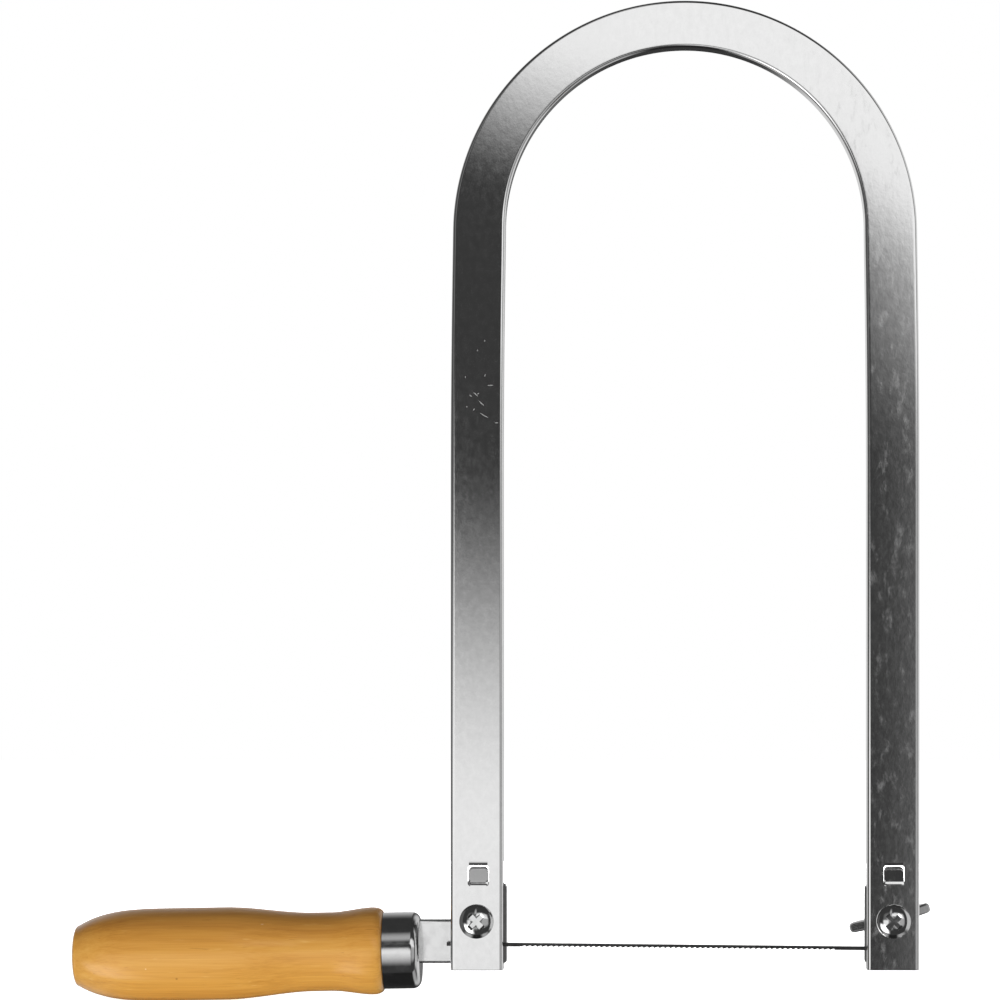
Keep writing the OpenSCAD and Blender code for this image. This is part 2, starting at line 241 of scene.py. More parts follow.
class Nodes:
    """Adds nodes to a tree. An input that is a socket is linked, any other is set."""

    def __init__(self, tree):
        self.tree = tree

    def add(self, kind, inputs=None, **settings):
        node = self.tree.nodes.new(kind)
        for name, value in settings.items():
            setattr(node, name, value)
        for name, value in (inputs or {}).items():
            self.give(node.inputs[name], value)
        return node

    def give(self, socket, value):
        if isinstance(value, bpy.types.NodeSocket):
            self.tree.links.new(value, socket)
        else:
            socket.default_value = value

    def where(self):
        """Places in the object's own frame, in metres."""
        return self.add("ShaderNodeTexCoord").outputs["Object"]

    def place(self, scale=(1, 1, 1)):
        """The same places, stretched by scale."""
        return self.add("ShaderNodeMapping", {"Vector": self.where(), "Scale": scale}).outputs[0]

    def reach(self, at, size, turn=0.0):
        """Distance from a spot, which is 1 at the spot's half sizes. The turn is about Y, in degrees."""
        spot = self.add("ShaderNodeMapping", {
            "Vector": self.where(), "Location": at, "Rotation": (0, -math.radians(turn), 0), "Scale": size,
        }, vector_type="TEXTURE").outputs[0]
        return self.add("ShaderNodeVectorMath", {0: spot}, operation="LENGTH").outputs["Value"]

    def noise(self, vector, scale, detail=2.0, roughness=0.5):
        return self.add("ShaderNodeTexNoise", {
            "Vector": vector, "Scale": scale, "Detail": detail, "Roughness": roughness,
        }).outputs["Fac"]

    def remap(self, value, low, high, to_low=0.0, to_high=1.0):
        """Takes one range of values to another with a smooth step."""
        return self.add("ShaderNodeMapRange", {
            "Value": value, "From Min": low, "From Max": high, "To Min": to_low, "To Max": to_high,
        }, interpolation_type="SMOOTHSTEP").outputs["Result"]

    def calc(self, operation, a, b=0.0):
        return self.add("ShaderNodeMath", {0: a, 1: b}, operation=operation).outputs[0]

    def total(self, *values):
        result = values[0]
        for value in values[1:]:
            result = self.calc("ADD", result, value)
        return result

    def product(self, *values):
        result = values[0]
        for value in values[1:]:
            result = self.calc("MULTIPLY", result, value)
        return result

    def split(self, vector):
        return self.add("ShaderNodeSeparateXYZ", {0: vector}).outputs

    def mix(self, factor, a, b, kind="MIX"):
        node = self.add("ShaderNodeMix", data_type="RGBA", blend_type=kind)
        self.give(node.inputs[0], factor)
        self.give(node.inputs[6], a)
        self.give(node.inputs[7], b)
        return node.outputs[2]

    def ramp(self, value, *stops):
        node = self.add("ShaderNodeValToRGB", {"Fac": value})
        elements = node.color_ramp.elements
        while len(elements) < len(stops):
            elements.new(0.5)
        for element, (position, color) in zip(elements, stops):
            element.position = position
            element.color = color
        return node.outputs["Color"]

    def bump(self, height, distance, normal=None):
        inputs = {"Height": height, "Distance": distance, "Strength": 1.0}
        if normal is not None:
            inputs["Normal"] = normal
        return self.add("ShaderNodeBump", inputs).outputs["Normal"]


def grey(value):
    return (value, value, value, 1)


def new_material(name, **sockets):
    mat = bpy.data.materials.new(name)
    mat.use_nodes = True
    shader = mat.node_tree.nodes["Principled BSDF"]
    for socket, value in sockets.items():
        shader.inputs[socket.replace("_", " ")].default_value = value
    return mat, Nodes(mat.node_tree), shader


# Most of a noise's values lie between these
NOISE_LOW, NOISE_HIGH = 0.3, 0.7
FINE_GRAIN = 2600


def plated_steel(name, low, high, gloss, mottle_scale, mottle_depth, fine_depth, stretch=(1, 1, 1)):
    """Plated sheet: slightly cloudy colour and gloss, with a faint ripple and fine grain."""
    mat, n, shader = new_material(name, Metallic=1.0)
    mottle = n.noise(n.place(stretch), mottle_scale, 3, 0.6)
    fine = n.noise(n.place(), FINE_GRAIN, 2)
    color = n.ramp(mottle, (NOISE_LOW, grey(low)), (NOISE_HIGH, grey(high)))
    n.give(shader.inputs["Base Color"], color)
    n.give(shader.inputs["Roughness"], n.remap(mottle, NOISE_LOW, NOISE_HIGH, *gloss))
    ripple = n.bump(mottle, mottle_depth)
    n.give(shader.inputs["Normal"], n.bump(fine, fine_depth, ripple))
    return mat


# Scratches on the left leg: place from the leg's middle line and end, length, and angle in degrees
SCRATCHES = [
    (2.4, 166.6, 1.0, 70), (3.9, 163.8, 2.0, 4), (-1.6, 160.9, 1.1, -32), (-0.2, 161.3, 2.1, -42),
    (0.5, 161.5, 0.8, 45), (1.4, 158.8, 2.5, -43), (2.1, 155.4, 3.5, -30), (5.6, 153.3, 1.2, 0),
    (-0.7, 157.0, 0.8, 50), (-2.7, 157.8, 0.6, 0), (-3.1, 166.1, 0.6, 80), (0.3, 173.6, 0.7, 80),
    (2.3, 176.3, 0.7, 90),
]
SCRATCH_HALF_W, SCRATCH_DEPTH, SCRATCH_DULL = 0.16, 0.5, 0.34
SMUDGE_DULL, SMUDGE_ON_LEFT = 0.1, 0.2


def scratched(mat):
    """Adds short scratches, and dull smudges that lie mostly on the right leg."""
    n = Nodes(mat.node_tree)
    shader = mat.node_tree.nodes["Principled BSDF"]
    marks = 0.0
    for out, up, length, turn in SCRATCHES:
        at = ((LEGS["left"] + out) * MM, FRONT_Y * MM, (LEG_END_Z + up) * MM)
        size = (length / 2 * MM, SCRATCH_DEPTH * MM, SCRATCH_HALF_W * MM)
        marks = n.calc("MAXIMUM", marks, n.remap(n.reach(at, size, turn), 0.5, 1.0, 1.0, 0.0))
    cloud = n.noise(n.place((1, 1, 0.4)), 480, 4, 0.65)
    smudges = n.remap(cloud, 0.5, 0.74, 0.0, SMUDGE_DULL)
    along = n.split(n.where())[0]
    on_right = n.remap(along, BOW_X * MM, LEGS["right"] * MM, SMUDGE_ON_LEFT, 1.0)
    gloss = shader.inputs["Roughness"].links[0].from_socket
    dull = n.total(gloss, n.product(smudges, on_right), n.product(marks, SCRATCH_DULL))
    n.give(shader.inputs["Roughness"], dull)


def turned_steel(name, low, high, gloss, ring_depth, axis_scale):
    """Polished steel with faint marks running round its axis."""
    mat, n, shader = new_material(name, Metallic=1.0)
    rings = n.noise(n.place(axis_scale), 1.0, 3, 0.65)
    cloud = n.noise(n.place(), 320, 3, 0.6)
    color = n.ramp(cloud, (NOISE_LOW, grey(low)), (NOISE_HIGH, grey(high)))
    n.give(shader.inputs["Base Color"], color)
    n.give(shader.inputs["Roughness"], n.remap(cloud, NOISE_LOW, NOISE_HIGH, *gloss))
    ripple = n.bump(rings, ring_depth)
    n.give(shader.inputs["Normal"], n.bump(cloud, ring_depth, ripple))
    return mat


# Colours of the wood's grain from dark to light, and of its marks
GRAIN_DARK, GRAIN_MID = (0.49, 0.212, 0.040, 1), (0.61, 0.292, 0.060, 1)
GRAIN_LIGHT = (0.675, 0.352, 0.086, 1)
PORE, PALE_FIBRE = (0.30, 0.11, 0.02, 1), (0.80, 0.50, 0.19, 1)
DARK_MARK, PALE_MARK = (0.25, 0.10, 0.02, 1), (0.85, 0.62, 0.32, 1)
# Painted light and shade: the wood is tinted paler low down and deeper in colour high up
LOW_PAINTED_LIGHT, HIGH_PAINTED_SHADE = (1.0, 1.1, 1.06, 1), (1.0, 0.95, 0.76, 1)
# Marks on the front of the handle: place from the bow's middle and the legs' ends, size and colour
WOOD_MARKS = [
    (-142.0, -2.2, 0.9, 0.8, DARK_MARK), (-121.0, 14.9, 1.3, 0.5, PALE_MARK),
    (-118.4, 12.9, 1.6, 0.5, PALE_MARK), (-150.5, 0.6, 0.6, 0.5, PALE_MARK),
]
# Where the marks lie in depth, and half of how deep they reach
MARK_Y, MARK_HALF_D = -12.0, 6.0


def varnished_wood(name):
    """Pale hardwood under clear varnish, grain along X, with fine fibres and short flecks."""
    mat, n, shader = new_material(name, Coat_Weight=0.7, Coat_Roughness=0.16, Specular_IOR_Level=0.25)
    bands = n.noise(n.place((5, 130, 130)), 1.0, 3, 0.55)
    rings = n.noise(n.place((5, 480, 480)), 1.0, 3, 0.6)
    fibres = n.noise(n.place((55, 2600, 2600)), 1.0, 3, 0.6)
    pores = n.noise(n.place((130, 1500, 1500)), 1.0, 2, 0.5)
    pale = n.noise(n.place((120, 700, 700)), 1.0, 2, 0.5)
    tone = n.total(n.product(bands, 0.4), n.product(rings, 0.35), n.product(fibres, 0.25))
    color = n.ramp(tone, (0.36, GRAIN_DARK), (0.5, GRAIN_MID), (0.64, GRAIN_LIGHT))
    color = n.mix(n.product(n.remap(pores, 0.68, 0.78), 0.4), color, PORE)
    color = n.mix(n.product(n.remap(pale, 0.66, 0.8), 0.4), color, PALE_FIBRE)
    # Painted light and shade by height: paler towards the bottom, deeper towards the top
    height = n.remap(n.split(n.where())[2], (AXIS_Z - 13) * MM, (AXIS_Z + 9) * MM)
    color = n.mix(1.0, color, n.ramp(height, (0.0, LOW_PAINTED_LIGHT), (1.0, HIGH_PAINTED_SHADE)), "MULTIPLY")
    for along, up, length, width, tint in WOOD_MARKS:
        at = ((BOW_X + along) * MM, MARK_Y * MM, (LEG_END_Z + up) * MM)
        reach = n.reach(at, (length / 2 * MM, MARK_HALF_D * MM, width / 2 * MM))
        color = n.mix(n.remap(reach, 0.4, 1.0, 0.6, 0.0), color, tint)
    n.give(shader.inputs["Base Color"], color)
    n.give(shader.inputs["Roughness"], n.remap(fibres, NOISE_LOW, NOISE_HIGH, 0.38, 0.5))
    n.give(shader.inputs["Normal"], n.bump(n.calc("ADD", rings, fibres), 0.00001))
    return mat


bow_steel = plated_steel(
    "bow_steel", 0.80, 0.86, gloss=(0.05, 0.08),
    mottle_scale=560, mottle_depth=0.000006, fine_depth=0.0000004, stretch=(1, 1, 0.7),
)
scratched(bow_steel)
clamp_steel = plated_steel(
    "clamp_steel", 0.82, 0.88, gloss=(0.16, 0.26),
    mottle_scale=420, mottle_depth=0.000005, fine_depth=0.000001,
)
# Painted shade: the clamp plates are near black, standing in for the shade behind the channel's flanges
plate_painted_shade = plated_steel(
    "plate_painted_shade", 0.16, 0.24, gloss=(0.28, 0.40),
    mottle_scale=500, mottle_depth=0.000006, fine_depth=0.000002,
)
fastener_steel = plated_steel(
    "plated_fastener", 0.72, 0.80, gloss=(0.05, 0.11),
    mottle_scale=700, mottle_depth=0.000004, fine_depth=0.0000008,
)
nut_steel = plated_steel(
    "nut_steel", 0.36, 0.44, gloss=(0.12, 0.20),
    mottle_scale=700, mottle_depth=0.000006, fine_depth=0.000001,
)
blade_steel = plated_steel(
    "blade_steel", 0.045, 0.09, gloss=(0.28, 0.42),
    mottle_scale=900, mottle_depth=0.000008, fine_depth=0.000003,
)
ferrule_steel = turned_steel(
    "ferrule_steel", 0.70, 0.78, gloss=(0.07, 0.13), ring_depth=0.000003, axis_scale=(1800, 20, 20)
)
handle_wood = varnished_wood("handle_wood")


# The bow: a channel swept up one leg, round the arch and down the other

RIM_EDGE = 0.14


def channel_profile():
    """Outline of the sheet, as distance from the bow's inner side and depth from its front."""
    w, d, t, r, e = FACE_W, LEG_DEPTH, SHEET_T, FOLD_R, RIM_EDGE
    hold, inner = 0.4, 0.1
    return (
        [(0, d - e), (0, r + hold)]
        + arc(r, r, r, 180, 270, 10)
        + [(r + hold, 0), (w / 2, 0), (w - r - hold, 0)]
        + arc(w - r, r, r, 270, 360, 10)
        + [(w, r + hold), (w, d - e), (w - e, d), (w - t + e, d), (w - t, d - e)]
        + arc(w - t - inner, t + inner, inner, 360, 270, 3)
        + arc(t + inner, t + inner, inner, 270, 180, 3)
        + [(t, d - e), (t - e, d), (e, d)]
    )


def inset(outline, by):
    """Moves each point of an outline inwards along the mean normal of its edges."""
    count = len(outline)
    area = sum(
        outline[i][0] * outline[(i + 1) % count][1] - outline[(i + 1) % count][0] * outline[i][1]
        for i in range(count)
    )
    way = 1 if area > 0 else -1
    moved = []
    for i, (x, y) in enumerate(outline):
        normals = []
        for j in (i - 1, i):
            (x0, y0), (x1, y1) = outline[j], outline[(j + 1) % count]
            length = math.hypot(x1 - x0, y1 - y0)
            normals.append((-(y1 - y0) / length * way, (x1 - x0) / length * way))
        nx, ny = normals[0][0] + normals[1][0], normals[0][1] + normals[1][1]
        length = math.hypot(nx, ny)
        moved.append((x + by * nx / length, y + by * ny / length))
    return moved


# The arch springs in a little from the legs and is narrower at its top
SPRING = 0.65
OUTER_RISE, INNER_RISE = 0.42, 2.0
SPREAD_L = 70.0


def on_leg(side, profile, z):
    share = min(1.0, max(0.0, (ARCH_Z - z) / SPREAD_L))
    inner = FACE_IN - SPRING * (1 - share) ** 2
    return [(BOW_X + side * (inner + s), FRONT_Y + d, z) for s, d in profile]


def on_arch(profile, degrees):
    c, s = math.cos(math.radians(degrees)), math.sin(math.radians(degrees))
    points = []
    for w, d in profile:
        share = w / FACE_W
        r = FACE_IN - SPRING + w
        rise = INNER_RISE + (OUTER_RISE - INNER_RISE) * share
        points.append((BOW_X + r * c, FRONT_Y + d, ARCH_Z + rise + r * s))
    return points


def tongue(mid_x):
    """The lanced tongue, bent back into the channel from the window's lower edge."""
    half_w, bend, turn, corner, flat = 2.76, 2.4, 25.0, 1.3, 4.35
    root, sunk = -0.7, 0.02
    outer = bend + SHEET_T
    lean, rise = math.sin(math.radians(turn)), math.cos(math.radians(turn))
    stations = [((sunk, root), (SHEET_T - sunk, root))]
    for i in range(9):
        a = math.radians(turn * i / 8)
        stations.append((
            (outer * (1 - math.cos(a)), outer * math.sin(a)),
            (outer - bend * math.cos(a), bend * math.sin(a)),
        ))
    front, back = stations[-1]
    rounding = [math.radians(a) for a in range(10, 91, 10)]
    reach = [0.3, flat - corner] + [flat - corner * (1 - math.sin(a)) for a in rounding]
    widths = [half_w] * (len(stations) + 2) + [half_w - corner * (1 - math.cos(a)) for a in rounding]
    stations += [
        ((front[0] + f * lean, front[1] + f * rise), (back[0] + f * lean, back[1] + f * rise))
        for f in reach
    ]
    rings = []
    for half, ((fy, fz), (by, bz)) in zip(widths, stations):
        steps = [half * (i / 4 - 1) for i in range(9)]
        rings.append(
            [(mid_x + x, FRONT_Y + fy, WINDOW_Z + fz) for x in steps]
            + [(mid_x + x, FRONT_Y + by, WINDOW_Z + bz) for x in reversed(steps)]
        )
    bm = bmesh.new()
    loft(bm, rings)
    return bm


# The window's upper edge was drawn in when the tongue was pressed back
WINDOW_EDGE = 5.65
WINDOW_CORNER = 0.7
# The windows sit a little off the legs' middle lines, left then right
WINDOW_OFFSETS = (0.5, 0.15)
ROLL_DEPTH, ROLL_H = 0.95, 1.35
ARCH_STEPS, SPREAD_STEPS = 120, 12


def rolled_edge():
    """Outline in Y and Z of the cut that rounds the window's upper edge."""
    low, front = WINDOW_Z + WINDOW_EDGE, FRONT_Y - PAST
    roll = [
        (FRONT_Y + ROLL_DEPTH * (1 + a), low + ROLL_H * (1 + b)) for a, b in arc(0, 0, 1, 180, 270, 12)
    ]
    return [(front, low + ROLL_H)] + roll + [(FRONT_Y + ROLL_DEPTH, low - PAST), (front, low - PAST)]


def make_bow():
    profile = channel_profile()
    end = inset(profile, RIM_EDGE)
    heights = [LEG_END_Z + up for up in (RIM_EDGE, 45, 100)]
    heights += [ARCH_Z - SPREAD_L * (1 - i / SPREAD_STEPS) for i in range(SPREAD_STEPS)]
    rings = [on_leg(-1, end, LEG_END_Z)] + [on_leg(-1, profile, z) for z in heights]
    rings += [on_arch(profile, 179 - 178 * i / ARCH_STEPS) for i in range(ARCH_STEPS + 1)]
    rings += [on_leg(1, profile, z) for z in reversed(heights)] + [on_leg(1, end, LEG_END_Z)]
    bm = bmesh.new()
    loft(bm, rings)
    bow = add_object("bow", bm)
    y0, y1 = FRONT_Y - PAST, FRONT_Y + SHEET_T + PAST
    for leg_x, offset in zip(LEGS.values(), WINDOW_OFFSETS):
        mid_x = leg_x + offset
        x0, x1 = mid_x - WINDOW_W / 2, mid_x + WINDOW_W / 2
        window = rounded_rect(x0, WINDOW_Z, x1, WINDOW_Z + WINDOW_EDGE, WINDOW_CORNER)
        roll = across(rolled_edge(), x0 + WINDOW_CORNER / 2, x1 - WINDOW_CORNER / 2)
        combine(bow, slab(window, y0, y1), "DIFFERENCE")
        combine(bow, roll, "DIFFERENCE")
        combine(bow, rod(leg_x, y0, y1, SCREW_Z, HOLE_R), "DIFFERENCE")
        combine(bow, tongue(mid_x), "UNION")
    soften(bow, 0.1, angle=50)
    dress(bow, "frame", "bow", bow_steel)


# Clamp screws with a domed head, a cross recess and a rolled thread

SHANK_SUNK, SHANK_L = 0.2, 20.2


def make_screw(side):
    x = LEGS[side]
    head_r, head_h, side_h, edge = 4.8, 2.9, 1.0, 0.3
    rise = head_h - side_h
    dome_r = (head_r ** 2 + rise ** 2) / (2 * rise)
    spread = math.degrees(math.asin(head_r / dome_r))
    dome = arc(0, head_h - dome_r, dome_r, 90, 90 - spread + 3, 16)
    profile = [(0, head_h)] + dome[1:]
    profile += [(head_r - 0.05, side_h + 0.1), (head_r, side_h - edge / 2), (head_r, edge / 2)]
    profile += [(head_r - edge / 2, 0), (SCREW_R, 0), (0, 0)]
    bm = bmesh.new()
    turned(bm, profile, about_y(x, FRONT_Y, SCREW_Z, -1), 96)
    screw = add_object(side + "_screw", bm)
    depth, long, short, wide, narrow = 1.6, 3.1, 2.1, 0.95, 0.6
    above, cone_r, cone_end_r = 0.3, 1.9, 0.7
    top, bottom = FRONT_Y - head_h - above, FRONT_Y - head_h + depth
    for turn in (45, 135):
        c, s = math.cos(math.radians(turn)), math.sin(math.radians(turn))
        rings = []
        for y, half_l, half_w in ((top, long, wide), (bottom, short, narrow)):
            corners = [(-half_l, -half_w), (half_l, -half_w), (half_l, half_w), (-half_l, half_w)]
            rings.append([(x + a * c - b * s, y, SCREW_Z + a * s + b * c) for a, b in corners])
        bm = bmesh.new()
        loft(bm, rings)
        combine(screw, bm, "DIFFERENCE")
    bm = bmesh.new()
    cone = [(0, 0), (cone_r, 0), (cone_end_r, depth + above), (0, depth + above)]
    turned(bm, cone, about_y(x, top, SCREW_Z), 48)
    combine(screw, bm, "DIFFERENCE")
    soften(screw, 0.07, angle=40)
    combine(screw, thread(x, FRONT_Y - SHANK_SUNK, SHANK_L), "UNION")
    dress(screw, side + "_clamp_screw", "bow", fastener_steel)


def thread(x, y, length):
    """A rolled thread along +Y, plain under the head and chamfered at its end."""
    pitch, depth, steps, rows = 0.8, 0.42, 48, 8
    chamfer_l, chamfer_slope, plain_l, run_in = 0.75, 0.9, 1.2, 0.8
    root_w, flank = 1.35, 3.4
    bm = bmesh.new()
    rings = []
    count = round(length / pitch * rows)
    for j in range(count + 1):
        t = length * j / count
        limit = SCREW_R - max(0.0, chamfer_l - (length - t)) * chamfer_slope
        fade = min(1.0, max(0.0, (t - plain_l) / run_in))
        ring = []
        for i in range(steps):
            phase = (t / pitch - i / steps) % 1
            groove = min(1.0, max(0.0, root_w - abs(phase - 0.5) * flank))
            r = min(limit, SCREW_R - depth * groove * fade)
            a = math.tau * i / steps
            ring.append((x + r * math.cos(a), y + t, SCREW_Z + r * math.sin(a)))
        rings.append(ring)
    loft(bm, rings)
    return bm


# Clamp plates, each with a lip bent forward into the channel

# How far each plate reaches to the left and right of its screw
PLATE_REACH = {"left": (7.2, 8.1), "right": (7.75, 7.2)}


def make_plate(side):
    x = LEGS[side]
    lip_half_w, lip_y, bend, corner = 4.8, FRONT_Y + 2.5, 0.75, 1.2
    to_left, to_right = PLATE_REACH[side]
    low, top = PLATE_LOW_Z, PLATE_TOP_Z
    back = PLATE_Y + PLATE_T
    sheet = rounded_rect(x - to_left, low, x + to_right, top - bend, corner)
    plate = add_object(side + "_plate", slab(sheet, PLATE_Y, back))
    lip = [(lip_y, top - PLATE_T), (lip_y, top), (back - bend, top)]
    lip += [
        (back - bend + bend * math.sin(a), top - bend + bend * math.cos(a))
        for a in (math.radians(15 * i) for i in range(1, 7))
    ]
    lip += [(back, top - PLATE_T - bend), (PLATE_Y, top - PLATE_T - bend), (PLATE_Y, top - PLATE_T)]
    combine(plate, across(lip, x - lip_half_w, x + lip_half_w), "UNION")
    combine(plate, rod(x, PLATE_Y - PAST, back + PAST, SCREW_Z, HOLE_R), "DIFFERENCE")
    soften(plate, 0.45, segments=4)
    dress(plate, side + "_clamp_plate", side + "_clamp", plate_painted_shade)


# Tang plate: lug on the left screw, tang to the ferrule and spike in the wood

def make_tang():
    left, right = BOW_X - FACE_OUT, BOW_X - ARCH_INNER_R + 1.2
    low, lug_top, tang_top = PLATE_LOW_Z, PLATE_LOW_Z + 22.6, PLATE_LOW_Z + TANG_H
    root, r, r_inner, r_edge = FERRULE_FRONT_X - 0.9, 1.2, 0.8, 0.85
    spike_start, spike_end, start_h, end_h = -1.0, -38.9, 3.65, 1.5
    c, s = math.cos(DROOP), math.sin(DROOP)
    spike = [(spike_start, start_h), (spike_end, end_h), (spike_end, -end_h), (spike_start, -start_h)]
    outline = [(root, low)]
    outline += arc(right - r, low + r, r, -90, 0, 6) + arc(right - r, lug_top - r, r, 0, 90, 6)
    outline += arc(left + r, lug_top - r, r, 90, 180, 6)
    outline += arc(left - r_inner, tang_top + r_inner, r_inner, 0, -90, 6)
    outline += [(root, tang_top)]
    outline += [(FERRULE_FRONT_X + a * c - up * s, AXIS_Z + a * s + up * c) for a, up in spike]
    turns = [math.radians(15 * i) for i in range(7)]
    edges = [(r_edge * (1 - math.cos(a)), r_edge * (1 - math.sin(a))) for a in turns]
    layers = [(TANG_Y + d, by) for d, by in edges]
    layers += [(TANG_Y + TANG_T - d, by) for d, by in reversed(edges)]
    bm = bmesh.new()
    loft(bm, [[(x, y, z) for x, z in inset(outline, by)] for y, by in layers])
    tang = add_object("tang", bm)
    hole = rod(LEGS["left"], TANG_Y - PAST, TANG_Y + TANG_T + PAST, SCREW_Z, HOLE_R)
    combine(tang, hole, "DIFFERENCE")
    dress(tang, "tang_plate", "left_clamp", clamp_steel)


# Ferrule: a drawn steel cup with a slot for the tang

def make_ferrule():
    wall, edge, rim, hold = 0.8, 2.4, 0.15, 0.4
    slot_l, slot_corner, play = 5.0, 0.2, 0.1
    length, r = FERRULE_L, FERRULE_R
    outside = [(r - wall + rim, 0), (r - rim, 0), (r, rim), (r, length - edge - hold)]
    outside += arc(r - edge, length - edge, edge, 0, 90, 18)
    outside += [(r - edge - hold, length), (0, length)]
    inside = [(0, length - wall)] + arc(r - edge, length - edge, edge - wall, 90, 0, 8)
    inside += [(r - wall, rim), outside[0]]
    bm = bmesh.new()
    for profile in (outside, inside):
        turned(bm, profile, about_handle(length), 128)
    bmesh.ops.remove_doubles(bm, verts=bm.verts, dist=1e-7)
    ferrule = add_object("ferrule_cup", bm)
    slot = rounded_rect(
        FERRULE_FRONT_X - slot_l, PLATE_LOW_Z - play,
        FERRULE_FRONT_X + PAST, PLATE_LOW_Z + TANG_H + play, slot_corner, 3,
    )
    combine(ferrule, slab(slot, TANG_Y - play, TANG_Y + TANG_T + play), "DIFFERENCE")
    soften(ferrule, 0.08, angle=50)
    dress(ferrule, "ferrule", "left_clamp", ferrule_steel)


# Handle, turned from one piece of wood

def eased(t):
    return t * t * (3 - 2 * t)


# Where the parts of the handle's outline lie, as shares of its length from the butt.
# The butt's dome is flatter than the solid's, so it starts a little inside.
BUTT_START, BUTT_END = 0.008, 0.0225
BELLY_START, BELLY_END = 0.366, 0.494
WAIST_START, WAIST_END = 0.776, 0.833
SHOULDER = 0.967


def handle_radius(share):
    """Radius at a share of the handle's length from its butt."""
    butt, belly, waist, shoulder = 8.5, 13.05, 11.1, 12.3
    if share < BUTT_END:
        return butt * (1 - ((BUTT_END - share) / (BUTT_END - BUTT_START)) ** 2) ** 0.25
    if share < BELLY_START:
        swell = 1 - (1 - (share - BUTT_END) / (BELLY_START - BUTT_END)) ** 4
        return butt + (belly - butt) * swell
    if share < BELLY_END:
        return belly
    if share < WAIST_START:
        return belly + (waist - belly) * eased((share - BELLY_END) / (WAIST_START - BELLY_END))
    if share < WAIST_END:
        return waist
    if share < SHOULDER:
        return waist + (shoulder - waist) * eased((share - WAIST_END) / (SHOULDER - WAIST_END))
    fall = math.sqrt(max(0, 1 - ((share - SHOULDER) / (1 - SHOULDER)) ** 2))
    return FERRULE_R + (shoulder - FERRULE_R) * fall


def make_handle():
    steps, end_steps, gap, chamfer = 150, 14, 0.9, 0.7
    shares = [BUTT_START + (BUTT_END - BUTT_START) * (i / end_steps) ** 2 for i in range(end_steps)]
    shares += [BUTT_END + (SHOULDER - BUTT_END) * i / steps for i in range(steps)]
    turns = [math.radians(90 * i / end_steps) for i in range(end_steps + 1)]
    shares += [SHOULDER + (1 - SHOULDER) * math.sin(a) for a in turns]
    profile = [(handle_radius(s), s * HANDLE_L) for s in shares]
    spigot_r, spigot_end = FERRULE_R - gap, HANDLE_L + FERRULE_L - gap
    profile += [(spigot_r, HANDLE_L), (spigot_r, spigot_end - chamfer)]
    profile += [(spigot_r - chamfer, spigot_end), (0, spigot_end)]
    bm = bmesh.new()
    turned(bm, profile, about_handle(FERRULE_L + HANDLE_L), 128)
    handle = add_object("wood_handle", bm)
    dress(handle, "handle", "left_clamp", handle_wood, sharp=45)


# Blade, its steep tooth faces towards the handle

def make_blade():
    left, length, height, up = -(ARCH_R + 1.6), 130.0, 1.05, 6.8
    pitch, depth, plain = 1.5, 0.32, 20.5
    count = int((length - 2 * plain) // pitch)
    start = left + (length - count * pitch) / 2
    low, gullet = -height, depth - height
    tooth = [
        (0, gullet - 0.03), (0.02, gullet - 0.1), (0.17, low), (0.24, low),
        (0.95, gullet - 0.06), (1.15, gullet), (pitch - 0.12, gullet),
    ]
    outline = [(left, 0), (left, low), (start, low)]
    for i in range(count):
        outline += [(start + i * pitch + x, z) for x, z in tooth]
    end = start + count * pitch
    outline += [(end, gullet), (end, low), (left + length, low), (left + length, 0)]
    c, s = math.cos(BLADE_TILT), math.sin(BLADE_TILT)
    outline = [(BOW_X + x * c + z * s, LEG_END_Z + up - x * s + z * c) for x, z in outline]
    blade = add_object("saw_blade", slab(outline, PLATE_Y - BLADE_T, PLATE_Y))
    dress(blade, "blade", "bow", blade_steel)


# Wing nuts, cast with rounded wings running into a conical hub

def make_nut(side, seat_y, wing_angle):
    x = LEGS[side]
    hub, hub_top, hub_h, play = 5.3, 4.2, 6.0, 0.05
    profile = [(0, 0), (hub - 0.3, 0), (hub, 0.3), (hub, 1.5), (hub_top + 0.2, hub_h - 0.4)]
    profile += [(hub_top - 0.2, hub_h), (0, hub_h)]
    bm = bmesh.new()
    turned(bm, profile, about_y(0, 0, 0), 96)
    nut = add_object(side + "_nut", bm)
    for way in (1, -1):
        combine(nut, wing(way), "UNION")
    mod = nut.modifiers.new("cast", "REMESH")
    mod.mode = "VOXEL"
    mod.voxel_size = 0.2 * MM
    mod = nut.modifiers.new("melt", "SMOOTH")
    mod.factor = 0.5
    mod.iterations = 6
    bake(nut)
    combine(nut, rod(0, -PAST, hub_h + 2 * PAST, 0, SCREW_R + play), "DIFFERENCE")
    c, s = math.cos(math.radians(wing_angle)), math.sin(math.radians(wing_angle))
    for v in nut.data.vertices:
        px, pz = v.co.x, v.co.z
        v.co.x = px * c - pz * s + x * MM
        v.co.z = px * s + pz * c + SCREW_Z * MM
        v.co.y = max(v.co.y, 0.0) + seat_y * MM
    dress(nut, side + "_wing_nut", side + "_nut", nut_steel, sharp=50)


def wing(way):
    """One wing beside the Y axis, with round edges."""
    root, root_r, tip, tip_r = (2.65, 3.0), 1.98, (8.8, 9.0), 3.0
    along = math.atan2(tip[1] - root[1], tip[0] - root[0])
    lean = math.acos((root_r - tip_r) / math.dist(root, tip))
    first, last = math.degrees(along + lean), math.degrees(along - lean)
    outline = arc(*tip, tip_r, last, first, 28) + arc(*root, root_r, first, last + 360, 20)
    edge = [(-1.4, 0.85), (-1.22, 0.38), (-0.92, 0.1), (-0.55, 0)]
    layers = edge + [(-z, by) for z, by in reversed(edge)]
    bm = bmesh.new()
    loft(bm, [[(way * a, b, z) for a, b in inset(outline, by)] for z, by in layers])
    return bm


